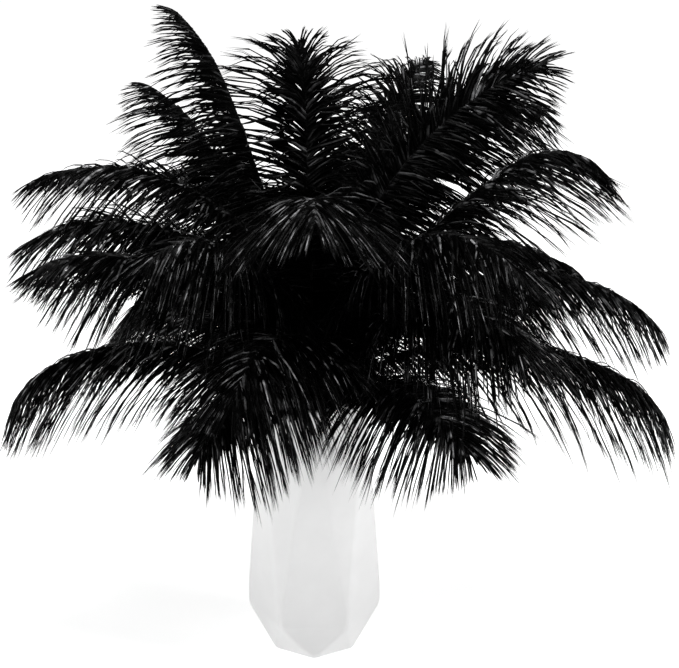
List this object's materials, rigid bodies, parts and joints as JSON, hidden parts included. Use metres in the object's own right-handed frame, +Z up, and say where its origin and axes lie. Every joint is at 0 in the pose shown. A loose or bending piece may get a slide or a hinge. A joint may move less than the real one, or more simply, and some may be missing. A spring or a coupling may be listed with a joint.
{
  "type": "vase of ostrich plumes",
  "caption": "Bouquet of black ostrich plumes that fan out and droop from a tall faceted white ceramic vase.",
  "frame": {"origin": "centre of the vase's flat base, on the surface it stands on", "axes": "+Z up along the vase's axis, -Y towards the front of the bouquet, +X to the right seen from the front, along its greatest width"},
  "size_m": [0.5344, 0.4493, 0.5295],
  "materials": {
    "white_ceramic": "satin",
    "black_feather": "satin"
  },
  "bodies": {
    "root": {"vase": "white_ceramic", "low_plume_01": "black_feather", "low_plume_02": "black_feather", "low_plume_03": "black_feather", "low_plume_04": "black_feather", "low_plume_05": "black_feather", "low_plume_06": "black_feather", "low_plume_07": "black_feather", "low_plume_08": "black_feather", "low_plume_09": "black_feather", "low_plume_10": "black_feather", "low_plume_11": "black_feather", "low_plume_12": "black_feather", "middle_plume_01": "black_feather", "middle_plume_02": "black_feather", "middle_plume_03": "black_feather", "middle_plume_04": "black_feather", "middle_plume_05": "black_feather", "middle_plume_06": "black_feather", "middle_plume_07": "black_feather", "middle_plume_08": "black_feather", "high_plume_01": "black_feather", "high_plume_02": "black_feather", "high_plume_03": "black_feather", "high_plume_04": "black_feather", "high_plume_05": "black_feather", "high_plume_06": "black_feather", "high_plume_07": "black_feather", "high_plume_08": "black_feather", "high_plume_09": "black_feather"}
  },
  "joints": []
}
